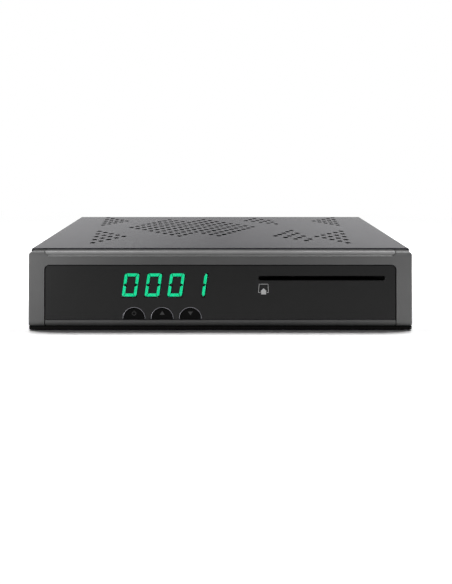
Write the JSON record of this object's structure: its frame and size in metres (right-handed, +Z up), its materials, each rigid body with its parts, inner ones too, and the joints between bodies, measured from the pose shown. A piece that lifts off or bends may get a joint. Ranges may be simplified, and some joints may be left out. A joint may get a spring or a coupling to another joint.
{
  "type": "satellite tv receiver",
  "caption": "Low set-top satellite receiver: grey fascia with a smoked display window, half-round push buttons and a card slot, vented steel cover, rear sockets.",
  "frame": {"origin": "on the floor under the middle of the bounding box, from the fascia's front to the tips of the aerial sockets", "axes": "+X to the right seen from the front, +Y from the front to the back, +Z up; the fascia faces -Y"},
  "size_m": [0.2218, 0.176, 0.0465],
  "materials": {
    "grey_plastic": "fine satin grain",
    "trim_plastic": "satin",
    "ring_plastic": "satin",
    "smoked_window": "smoked, satin",
    "black_plastic": "moulded",
    "button_plastic": "polished",
    "switch_plastic": "moulded",
    "lit_green": "lit",
    "unlit_segment": "unlit",
    "board_green": "solder mask",
    "zinc_screw": "zinc plated",
    "black_screw": "black oxide",
    "cable_white": "film",
    "painted_steel": "satin paint",
    "bare_steel": "zinc coated",
    "brass_pillar": "turned",
    "rubber": "matt",
    "gold_contact": "plated",
    "nickel": "nickel plated",
    "tongue_plastic": "moulded",
    "white_insulator": "moulded",
    "red_insulator": "moulded",
    "yellow_insulator": "moulded",
    "orange_insulator": "moulded",
    "chip_plastic": "moulded",
    "anodised_heatsink": "anodised",
    "capacitor_sleeve": "sleeved"
  },
  "bodies": {
    "case": {"aerial_nuts": "nickel", "aerial_socket_in": "nickel", "aerial_socket_out": "nickel", "base_tray": "bare_steel", "board_pillars": "brass_pillar", "board_screws": "zinc_screw", "button_rings": "ring_plastic", "cable_headers": "black_plastic", "capacitors": "capacitor_sleeve", "card_contacts": "gold_contact", "card_reader": "black_plastic", "cover_screws": "black_screw", "display_module": "black_plastic", "fascia_carrier": "black_plastic", "fascia_frame": "grey_plastic", "front_board": "board_green", "front_board_screws": "zinc_screw", "front_window": "smoked_window", "hdmi_socket": "nickel", "hdmi_tongue": "tongue_plastic", "heatsink": "anodised_heatsink", "infrared_receiver": "black_plastic", "lit_segments": "lit_green", "lower_lip": "trim_plastic", "main_board": "board_green", "memory_chips": "chip_plastic", "optical_socket": "black_plastic", "phono_audio_left": "white_insulator", "phono_audio_right": "red_insulator", "phono_digital": "orange_insulator", "phono_housing": "black_plastic", "phono_shells": "nickel", "phono_video": "yellow_insulator", "power_coils": "chip_plastic", "power_jack": "black_plastic", "power_pin": "nickel", "processor": "chip_plastic", "ribbon_cable": "cable_white", "rocker_housing": "black_plastic", "rubber_foot_1": "rubber", "rubber_foot_2": "rubber", "rubber_foot_3": "rubber", "rubber_foot_4": "rubber", "scart_core": "black_plastic", "scart_socket": "black_plastic", "tact_switches": "switch_plastic", "top_cover": "painted_steel", "top_trim_bar": "trim_plastic", "tuner_can": "bare_steel", "unlit_segments": "unlit_segment", "usb_socket": "nickel", "usb_tongue": "tongue_plastic"},
    "power_button": {"power_button": "button_plastic", "power_plunger": "switch_plastic"},
    "channel_up_button": {"channel_up_button": "button_plastic", "channel_up_plunger": "switch_plastic"},
    "channel_down_button": {"channel_down_button": "button_plastic", "channel_down_plunger": "switch_plastic"},
    "power_rocker": {"power_rocker": "black_plastic"},
    "optical_shutter": {"optical_shutter": "black_plastic"}
  },
  "joints": [
    {"name": "power_press", "type": "slide", "parent": "case", "child": "power_button", "axis": [0, 1, 0], "range_m": [0, 0.0008], "stiffness_N_per_m": 1500, "springref_m": -0.0004},
    {"name": "channel_up_press", "type": "slide", "parent": "case", "child": "channel_up_button", "axis": [0, 1, 0], "range_m": [0, 0.0008], "stiffness_N_per_m": 1500, "springref_m": -0.0004},
    {"name": "channel_down_press", "type": "slide", "parent": "case", "child": "channel_down_button", "axis": [0, 1, 0], "range_m": [0, 0.0008], "stiffness_N_per_m": 1500, "springref_m": -0.0004},
    {"name": "power_rocker_pivot", "type": "hinge", "parent": "case", "child": "power_rocker", "pos_m": [0.0849, 0.0777, 0.033], "axis": [1, 0, 0], "range_deg": [0, 16]},
    {"name": "optical_shutter_hinge", "type": "hinge", "parent": "case", "child": "optical_shutter", "pos_m": [0.0489, 0.0765, 0.0176], "axis": [-1, 0, 0], "range_deg": [0, 80], "stiffness_Nm_per_rad": 0.0004, "springref_deg": -17.19}
  ]
}
